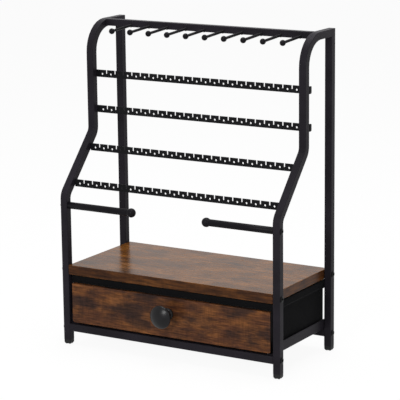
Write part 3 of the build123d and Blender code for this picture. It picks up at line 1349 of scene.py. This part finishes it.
@dataclass
class Feet:
    """Four moulded foot caps with rounded undersides and a plug in the tube."""

    corner: float = 1.4 * MM
    round_under: float = 3.5 * MM
    height: float = 7 * MM
    plug: float = 8.4 * MM
    steps: int = 6

    def build_foot(self, node: str) -> Piece:
        """Models one foot from a block: rounded corners, rounded underside and plug.

        Args:
            node: Solid that it stands for.

        Returns:
            The foot.
        """
        low, high = box_of(node)
        top = low.z + self.height
        foot = add_block(low, Vector((high.x, high.y, top)), f"cap_{node}")
        with edit_mode(foot):
            round_edges(foot, runs_along(Z), self.corner, self.steps)
            round_edges(foot, lies_at(Z, low.z), self.round_under, self.steps)
            pick(foot, "faces", lies_at(Z, top))
            bpy.ops.mesh.inset(thickness=(high.x - low.x - self.plug) / 2)
            extrude((0, 0, high.z - top))
        tidy_mesh(foot)
        smooth(foot, 40, keep_flats=True)
        return finish_piece(foot, FOOT_PLASTIC, Slot.FOOT, node)

    def build(self) -> list[Piece]:
        """Models the four feet."""
        ends = ("front", "rear")
        return [self.build_foot(f"{s}_{e}_foot") for s in SIGN_OF_SIDE for e in ends]


@dataclass(frozen=True)
class Fastener:
    """A screw or bolt with a low dome head and a driver recess, turned about Z."""

    head: float
    head_height: float
    lip: float
    shank: float
    length: float
    recess: Recess
    recess_width: float
    recess_depth: float
    sides: int = 32
    tip_chamfer: float = 0.4 * MM
    head_chamfer: float = 0.15 * MM
    dome_end: float = 89.0
    dome_steps: int = 7
    cutter_above: float = 1 * MM

    def cutter(self) -> Piece:
        """Makes the prism or cross that cuts the recess, standing in the head.

        Returns:
            The cutter.
        """
        height = self.head_height - self.recess_depth / 2 + self.cutter_above / 2
        middle, tall = (0, 0, height), self.recess_depth + self.cutter_above
        if self.recess is Recess.HEX:
            return add_shape(
                bpy.ops.mesh.primitive_cylinder_add,
                "hex_cutter",
                vertices=6,
                radius=self.recess_width / math.sqrt(3),
                depth=tall,
                location=middle,
            )
        first, second = (
            add_shape(
                bpy.ops.mesh.primitive_cube_add,
                "cross_cutter",
                size=1,
                location=middle,
                rotation=(0, 0, turn),
                scale=(self.recess_width, self.recess_width / 4, tall),
            )
            for turn in (0.0, math.pi / 2)
        )
        combine(first, second, "UNION")
        return first

    def model(self) -> Piece:
        """Turns it, head upwards and seated at the origin, and cuts its recess.

        Returns:
            The fastener.
        """
        profile = [
            (self.shank - self.tip_chamfer, -self.length),
            (self.shank, -self.length + self.tip_chamfer),
            (self.shank, 0.0),
            (self.head - self.head_chamfer, 0.0),
            (self.head, self.head_chamfer),
        ]
        top = self.head_height
        dome = (self.head, top - self.lip, top, self.dome_end, self.dome_steps)
        profile += dome_profile(*dome)
        model = turned(profile, self.sides)
        combine(model, self.cutter(), "DIFFERENCE")
        tidy_mesh(model)
        smooth(model, 40)
        return model


@dataclass
class FrameBolts:
    """Bolts through the posts: board, rails and hanging bars."""

    bolt: Fastener = Fastener(
        head=4.5 * MM,
        head_height=2.1 * MM,
        lip=0.7 * MM,
        shank=2.5 * MM,
        length=21 * MM,
        recess=Recess.HEX,
        recess_width=3 * MM,
        recess_depth=1.3 * MM,
    )

    def build(self) -> list[Piece]:
        """Stamps the bolt on every seat, one piece for each group.

        Returns:
            One piece for each group.
        """
        # The part that each post's bolt holds: it sits at that part's middle height.
        front, rear = "front_tube", "rear_post"
        held_by = {
            "board_bolts": {front: "shelf_board", rear: "shelf_board"},
            "rail_bolts": {front: "front_bottom_rail", rear: "rear_bottom_rail"},
            "bar_bolts": {front: "{side}_hanging_bar"},
        }
        groups = []
        for group, held in held_by.items():
            places = []
            for side, sign in SIGN_OF_SIDE.items():
                for post, part in held.items():
                    low, high = box_of(f"{side}_{post}")
                    part_low, part_high = box_of(part.format(side=side))
                    x = high.x if sign > 0 else low.x
                    y = low.y + TUBE / 2 if post == front else high.y - TUBE / 2
                    z = (part_low.z + part_high.z) / 2
                    places.append(facing((x, y, z), (sign, 0, 0)))
            bolts = stamp(self.bolt.model(), places, f"dome_{group}")
            groups.append(finish_piece(bolts, BOLT_COAT, Slot.BOLT, group))
        return groups


@dataclass
class Boards:
    """Shelf board and drawer front in decor film, with painted shade on their edges."""

    shelf_edge: float = 1 * MM
    front_edge: float = 0.8 * MM
    front_lower_corner: float = 3.5 * MM
    edge_steps: int = 3
    corner_steps: int = 5

    def face(
        self, board: Piece, finishes: Sequence[Finish], second: Callable, *tie: object
    ) -> Piece:
        """Smooths a board, lays its grain and dresses it in two finishes.

        Args:
            board: Modelled board.
            finishes: Its main finish and its second one.
            second: Test of a face's normal, true where the second finish goes.
            tie: Its slot and the solid that it stands for.

        Returns:
            The dressed board.
        """
        tidy_mesh(board)
        smooth(board, 40, keep_flats=True)
        map_faces(board, "grain", along_grain)
        finish_piece(board, finishes[0], *tie)
        board.data.materials.append(finishes[1].material())
        for polygon in board.data.polygons:
            polygon.material_index = int(second(polygon.normal))
        return board

    def build(self) -> list[Piece]:
        """Models the shelf, and the front with its rounded lower corners.

        Returns:
            The shelf and the drawer front.
        """
        shelf = add_block(*box_of("shelf_board"), "board_shelf")
        with edit_mode(shelf):
            round_edges(shelf, everything, self.shelf_edge, self.edge_steps)
        low, high = box_of("drawer_front")
        front = add_block(low, high, "board_drawer_front")
        deep, under = runs_along(Y), lies_at(Z, low.z)
        with edit_mode(front):
            round_edges(
                front,
                lambda edge: deep(edge) and under(edge),
                self.front_lower_corner,
                self.corner_steps,
            )
            round_edges(front, lies_at(Y, low.y), self.front_edge, self.edge_steps)
        return [
            self.face(
                shelf,
                # The shelf's edges get a darker copy of its decor: painted shade.
                (SHELF_DECOR, SHELF_EDGE_SHADE),
                lambda normal: abs(normal.z) < 0.3,
                Slot.SHELF,
                "shelf_board",
            ),
            self.face(
                front,
                # The front's end faces get a near-black copy: painted shade of the gap
                # by the posts.
                (FRONT_DECOR, FRONT_END_SHADE),
                lambda normal: abs(normal.x) > 0.9,
                Slot.FRONT,
                "drawer_front",
            ),
        ]


# ------------------------------------------------------------------ drawer


@dataclass
class ClothBin:
    """Sewn cloth bin: stiffened walls that bow a little, corner piping and a hem."""

    wall: float = 2.5 * MM
    corner: float = 2.5 * MM
    corner_steps: int = 4
    wall_cuts: int = 23
    bow: float = 0.8 * MM
    bow_power: float = 0.6
    wall_share: float = 0.002
    ripple: float = 0.25 * MM
    piping: float = 0.9 * MM
    piping_steps: int = 22
    piping_sides: int = 12
    piping_pinch: float = 0.9
    piping_tip: float = 0.3 * MM
    hem_corner: float = 1.6 * MM
    hem_corner_steps: int = 5
    hem_cuts: int = 40
    hem_rows: int = 3
    hem_wall: float = 4.0 * MM
    hem_roll: float = 1.1 * MM
    hem_drift: float = 0.08 * MM
    hem_fullness: float = 2.6 * MM
    hem_droop: float = 1.05 * MM
    seam_drop: float = 0.45 * MM
    seam_reach: float = 157 * MM
    stitch_pitch: float = 3.8 * MM
    stitch_length: float = 2.5 * MM
    stitch_radius: float = 0.28 * MM
    stitch_height: float = 2.2 * MM
    liner_corner: float = 1.5 * MM
    liner_edge: float = 0.8 * MM
    # Walls and floor are larger than this, and the faces of the corners smaller.
    wall_area: float = 400 * MM * MM
    panels: tuple[str, ...] = (
        "bin_floor",
        "bin_front_panel",
        "bin_rear_panel",
        "bin_left_panel",
        "bin_right_panel",
    )

    def outline(self) -> tuple[Vector, Vector]:
        """Gives the lowest and highest corners of the bin's walls and floor."""
        lows, highs = zip(*(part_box(name) for name in self.panels))
        return Vector(map(min, zip(*lows))), Vector(map(max, zip(*highs)))

    def hem_box(self) -> tuple[Vector, Vector]:
        """Gives the hem's lowest and highest corners, full and drooping as cloth is.

        Returns:
            Both corners.
        """
        low, high = box_of("drawer_hem")
        full = Vector((self.hem_fullness, 0, 0))
        return low - full - Vector((0, 0, self.hem_droop)), high + full

    def build_shell(self) -> Piece:
        """Models the walls and floor from a block without a lid.

        Returns:
            The shell.
        """
        low, high = self.outline()
        shell = add_block(low, high, "bin_cloth_shell")
        with edit_mode(shell):
            pick(shell, "faces", lies_at(Z, high.z))
            bpy.ops.mesh.delete(type="FACE")
            round_edges(shell, runs_along(Z), self.corner, self.corner_steps)
            pick(shell, "faces", lambda face: face.calc_area() > self.wall_area)
            bpy.ops.mesh.subdivide(number_cuts=self.wall_cuts)
        self.bow_walls(shell, low, high)
        modify(shell, "SOLIDIFY", thickness=self.wall, offset=-1.0)
        tidy_mesh(shell)
        smooth(shell, 40)
        return shell

    def bow_walls(self, shell: Piece, low: Vector, high: Vector) -> None:
        """Lets the side and rear walls belly out a little, as filled cloth walls do.

        Args:
            shell: Open shell in object mode.
            low: Lowest corner of the bin.
            high: Highest corner of the bin.
        """
        span = high - low
        for vertex in shell.data.vertices:
            share = [(vertex.co[axis] - low[axis]) / span[axis] for axis in range(3)]
            upright = math.sin(math.pi * min(max(share[Z], 0.0), 1.0))
            for axis, other in ((X, Y), (Y, X)):
                in_wall = min(share[axis], 1 - share[axis]) < self.wall_share
                outward = 1 if share[axis] > 0.5 else -1
                # The front wall stays flat behind the wooden front.
                if not in_wall or (axis == Y and outward < 0):
                    continue
                across = math.sin(math.pi * min(max(share[other], 0.0), 1.0))
                wave = math.sin(19 * share[other] + 3 * share[Z])
                wave *= math.cos(7 * share[Z] + 2 * outward)
                belly = self.bow + self.ripple * wave
                swell = (across * upright) ** self.bow_power
                vertex.co[axis] += outward * swell * belly

    def build_piping(self) -> Piece:
        """Models the corded seams: up the four corners and under the front.

        Returns:
            The five seams as one piece.
        """
        low, high = self.outline()
        length, steps = high.z - low.z, self.piping_steps
        end, tip = 0.4 * self.piping, 0.85 * self.piping
        profile = [(end, 0.0), (tip, self.piping_tip)]
        for step in range(1, steps):
            pinch = 1.0 if step % 2 else self.piping_pinch
            profile.append((pinch * self.piping, length * step / steps))
        profile += [(tip, length - self.piping_tip), (end, length)]
        model = turned(profile, self.piping_sides)
        smooth(model, 60)
        front, inset = low.y + self.piping, 0.55 * self.corner
        under = Vector((-self.seam_reach, front, low.z - self.seam_drop))
        stretch = Matrix.Diagonal((1, 1, 2 * self.seam_reach / length, 1))
        places = [facing(under, (1, 0, 0)) @ stretch]
        places += [
            Matrix.Translation((x, y, low.z))
            for y in (front, high.y - inset)
            for x in (low.x + inset, high.x - inset)
        ]
        return stamp(model, places, "bin_corner_piping")

    def build_hem(self) -> Piece:
        """Models the folded band over the rim from a rounded outline.

        Returns:
            The hem.
        """
        low, high = self.hem_box()
        middle, span = (low + high) / 2, high - low
        middle.z = low.z
        hem = add_panel(middle, Vector((span.x, span.y, 1)), "hem_band")
        with edit_mode(hem):
            round_outline(hem, self.hem_corner, self.hem_corner_steps)
            pick(hem, "edges", lambda edge: edge.calc_length() > 2 * self.hem_corner)
            bpy.ops.mesh.subdivide(number_cuts=self.hem_cuts)
            pick(hem, "faces")
            bpy.ops.mesh.delete(type="ONLY_FACE")
            pick(hem, "edges")
            for _ in range(self.hem_rows):
                extrude((0, 0, span.z / self.hem_rows))
        tidy_mesh(hem)
        # The rows of points between the band's edges wander a little.
        for vertex in hem.data.vertices:
            spot = vertex.co
            if low.z + TOUCH < spot.z < high.z - TOUCH:
                drift = self.hem_drift * math.sin(61 * spot.x + 83 * spot.y)
                spot.x += drift if spot.x > 0 else -drift
        modify(hem, "SOLIDIFY", thickness=self.hem_wall, offset=-1.0)
        soften(hem, self.hem_roll, 3)
        tidy_mesh(hem)
        smooth(hem, 50)
        return hem

    def build_stitches(self) -> Piece:
        """Models one stitch and sews it round the hem, near its lower edge.

        Returns:
            All stitches as one piece.
        """
        low, high = self.hem_box()
        half = Vector((self.stitch_length / 2, self.stitch_radius, self.stitch_radius))
        model = add_block(-half, half, "stitch_model")
        with edit_mode(model):
            round_edges(model, everything, 0.8 * self.stitch_radius, 1)
        inset, height = self.hem_corner, low.z + self.stitch_height
        places = []
        for start, end in (
            ((low.x + inset, low.y), (high.x - inset, low.y)),
            ((high.x, low.y + inset), (high.x, high.y - inset)),
            ((high.x - inset, high.y), (low.x + inset, high.y)),
            ((low.x, high.y - inset), (low.x, low.y + inset)),
        ):
            first, last = Vector((*start, height)), Vector((*end, height))
            run = last - first
            count = int(run.length / self.stitch_pitch)
            turn = Matrix.Rotation(math.atan2(run.y, run.x), 4, "Z")
            for index in range(count):
                place = Matrix.Translation(first + run * ((index + 0.5) / count))
                places.append(place @ turn)
        return stamp(model, places, "hem_stitches")

    def build_liner(self) -> Piece:
        """Models the cloth-covered board that lies on the bin's floor.

        Returns:
            The board.
        """
        low, high = box_of("bin_base_board")
        board = add_block(low, high, "bin_base_liner")
        with edit_mode(board):
            round_edges(board, runs_along(Z), self.liner_corner, 3)
            round_edges(board, lies_at(Z, high.z), self.liner_edge, 3)
        tidy_mesh(board)
        smooth(board, 40, keep_flats=True)
        return board

    def build(self) -> list[Piece]:
        """Models and dresses the bin's cloth pieces.

        Returns:
            The dressed pieces.
        """
        shell, piping, hem = self.build_shell(), self.build_piping(), self.build_hem()
        stitches, liner = self.build_stitches(), self.build_liner()
        for cloth in (shell, piping, hem, liner):
            map_faces(cloth, "cloth", along_weave)
        return [
            finish_piece(shell, BIN_CLOTH, Slot.CLOTH, *self.panels),
            finish_piece(piping, BIN_CLOTH, Slot.CLOTH),
            finish_piece(hem, BIN_CLOTH, Slot.CLOTH, "drawer_hem"),
            finish_piece(stitches, SEAM_THREAD, Slot.CLOTH),
            finish_piece(liner, LINER_CLOTH, Slot.LINER, "bin_base_board"),
        ]


def swelling(
    start: Point, end: Point, steps: int, swell: Point = (0.0, 0.0), ease: float = 1.0
) -> list[Point]:
    """Gives rings from one ring to another, without the first.

    Args:
        start: Radius and height that the run sets off from.
        end: Radius and height of its last ring.
        steps: Number of rings.
        swell: How far it bellies out and up half-way.
        ease: Power that bends the change of radius.

    Returns:
        Radius and height of each ring.
    """
    rings = []
    for step in range(1, steps + 1):
        share = step / steps
        belly = math.sin(math.pi * share)
        radius = start[0] + (end[0] - start[0]) * share**ease + swell[0] * belly
        height = start[1] + (end[1] - start[1]) * share + swell[1] * belly
        rings.append((radius, height))
    return rings


@dataclass
class KnobAndScrews:
    """Turned knob, and the screws that hold it and the front from inside the bin."""

    projection: float = 28 * MM
    base: float = 8.5 * MM
    base_thick: float = 2.6 * MM
    neck: float = 5.4 * MM
    neck_at: float = 8 * MM
    head: float = 16.5 * MM
    head_swell: float = 0.95 * MM
    rim_at: float = 20 * MM
    rim_thick: float = 3 * MM
    rim_swell: float = 0.55 * MM
    face: float = 15.6 * MM
    sides: int = 64
    screw_head: float = 2.2 * MM

    def knob_profile(self) -> list[Point]:
        """Gives the knob's rings: radius, and distance from the wood.

        Returns:
            The rings, from the wood outwards.
        """
        base, thick, swell = self.base, self.base_thick, self.head_swell
        shoulder = (base - 0.8 * MM, thick + 0.2 * MM)
        neck, head = (self.neck, self.neck_at), (self.head, self.rim_at)
        face_at = self.rim_at + self.rim_thick
        rise = self.projection - self.rim_at - self.rim_thick
        return [
            (base - 0.3 * MM, 0.0),
            (base, 0.3 * MM),
            (base, thick - 0.6 * MM),
            (base - 0.25 * MM, thick - 0.15 * MM),
            shoulder,
            *swelling(shoulder, neck, 6, ease=0.8),
            *swelling(neck, head, 14, (swell, -swell)),
            *swelling(head, (self.face, face_at), 6, (self.rim_swell, 0.0)),
            *dome_profile(self.face, rise, self.projection, 89.4, 14)[1:],
        ]

    def build_knob(self) -> Piece:
        """Turns the knob.

        Returns:
            The knob.
        """
        low, high = box_of("knob")
        knob = turned(self.knob_profile(), self.sides, "turned_knob")
        wood = Vector(((low.x + high.x) / 2, high.y, (low.z + high.z) / 2))
        knob.data.transform(facing(wood, (0, -1, 0)))
        smooth(knob, 40)
        return finish_piece(knob, KNOB_LACQUER, Slot.KNOB, "knob")

    def build_screws(self, node: str, shank: float) -> Piece:
        """Models one group of the screws inside the bin from their shank's radius.

        Args:
            node: Solid that they stand for.
            shank: Radius of the shank.

        Returns:
            The screws as one piece.
        """
        low, high = box_of(node)
        middle = (low + high) / 2
        head = 1.9 * shank
        seat = high.y - self.screw_head
        model = Fastener(
            head=head,
            head_height=self.screw_head,
            lip=self.screw_head / 2,
            shank=shank,
            length=high.y - low.y - self.screw_head,
            recess=Recess.CROSS,
            recess_width=1.2 * head,
            recess_depth=1.1 * MM,
            sides=28,
        ).model()
        xs, zs = (low.x + head, high.x - head), (low.z + head, high.z - head)
        if node == "knob_screw":
            xs, zs = (middle.x,), (middle.z,)
        places = [facing((x, seat, z), (0, 1, 0)) for x in xs for z in zs]
        screws = stamp(model, places, f"pan_head_{node}")
        return finish_piece(screws, SCREW_PLATE, Slot.SCREW, node)

    def build(self) -> list[Piece]:
        """Models the knob and the screws.

        Returns:
            The knob and both groups of screws.
        """
        return [
            self.build_knob(),
            self.build_screws("front_screws", 1.5 * MM),
            self.build_screws("knob_screw", 2 * MM),
        ]


# ------------------------------------------------------------------ studio


@dataclass(frozen=True)
class Lamp:
    """A soft square lamp: where it hangs, its side in metres and its power in watts."""

    name: str
    spot: tuple[float, float, float]
    size: float
    watts: float


@dataclass
class Studio:
    """White floor, soft light and the camera at the photograph's angle."""

    eye: tuple[float, float, float] = (1.37808, -2.26880, 0.80860)
    yaw: float = 0.5413
    pitch: float = 0.2177
    roll: float = -0.0112
    focal_pixels: float = 1901.53
    image_pixels: float = 400.0
    sensor_width: float = 36.0
    clip: Point = (0.05, 60.0)
    floor_size: float = 14.0
    floor_gap: float = 0.05 * MM
    lamp_target: tuple[float, float, float] = (0.0, 0.0, 0.22)
    fill: float = 0.45
    lamps: tuple[Lamp, ...] = (
        Lamp("key_lamp", (0.3, -2.3, 1.1), 0.75, 26.0),
        Lamp("side_lamp", (2.2, -0.7, 1.3), 1.2, 5.0),
        Lamp("top_lamp", (0.0, 0.2, 2.2), 1.3, 32.0),
    )

    def add_camera(self) -> None:
        """Places the camera from its fitted position, angles and focal length."""
        level = math.cos(self.pitch)
        ahead = (-math.sin(self.yaw) * level, math.cos(self.yaw) * level)
        forward = Vector((*ahead, -math.sin(self.pitch)))
        right = forward.cross(Vector((0, 0, 1))).normalized()
        up = right.cross(forward)
        cosine, sine = math.cos(self.roll), math.sin(self.roll)
        axes = (cosine * right + sine * up, -sine * right + cosine * up, -forward)
        data = bpy.data.cameras.new("studio_camera")
        data.sensor_width = self.sensor_width
        data.lens = self.focal_pixels / self.image_pixels * self.sensor_width
        data.clip_start, data.clip_end = self.clip
        camera = bpy.data.objects.new("studio_camera", data)
        turn = Matrix(axes).transposed().to_4x4()
        camera.matrix_world = Matrix.Translation(Vector(self.eye)) @ turn
        bpy.context.collection.objects.link(camera)
        bpy.context.scene.camera = camera

    def add_floor(self) -> None:
        """Lays the studio paper just under the feet."""
        floor = add_shape(
            bpy.ops.mesh.primitive_plane_add,
            "studio_floor",
            size=self.floor_size,
            location=(0, 0, -self.floor_gap),
        )
        floor.data.materials.append(StudioPaper("studio_paper").material())

    def hang(self, lamp: Lamp) -> None:
        """Hangs a lamp that points at the middle of the stand.

        Args:
            lamp: Lamp to hang.
        """
        data = bpy.data.lights.new(lamp.name, "AREA")
        data.shape, data.size, data.energy = "SQUARE", lamp.size, lamp.watts
        light = bpy.data.objects.new(lamp.name, data)
        spot = Vector(lamp.spot)
        turn = (Vector(self.lamp_target) - spot).to_track_quat("-Z", "Y")
        light.matrix_world = Matrix.Translation(spot) @ turn.to_matrix().to_4x4()
        bpy.context.collection.objects.link(light)

    def set_world(self) -> None:
        """Makes the surroundings white to the eye and a soft even fill to surfaces."""
        world = bpy.data.worlds.new("studio_world")
        bpy.context.scene.world = world
        world.use_nodes = True
        tree = world.node_tree
        tree.nodes.clear()
        strength = add_range(tree, seen_by_eye(tree), (0.0, 1.0), (self.fill, 1.0))
        inputs = {"Color": WHITE, "Strength": strength}
        background = add_node(tree, "ShaderNodeBackground", inputs)
        surface = background.outputs["Background"]
        add_node(tree, "ShaderNodeOutputWorld", {"Surface": surface})

    def build(self) -> None:
        """Sets up the camera, floor, surroundings, lamps and view transform."""
        self.add_camera()
        self.add_floor()
        self.set_world()
        for lamp in self.lamps:
            self.hang(lamp)
        bpy.context.scene.view_settings.view_transform = "Standard"


def main() -> None:
    """Builds every sub-assembly in order and reports what was made."""
    logging.basicConfig(level=logging.INFO, format="%(message)s")
    Studio().build()
    stand = (SquareTubeFrame(), PegRow(), HangingBars(), Feet(), FrameBolts())
    drawer = (ClothBin(), KnobAndScrews())
    assemblies = (*stand, Boards(), *drawer, KeptSolids())
    made = [piece for assembly in assemblies for piece in assembly.build()]
    LOG.info("%d pieces made or dressed", len(made))


if __name__ == "__main__":
    main()
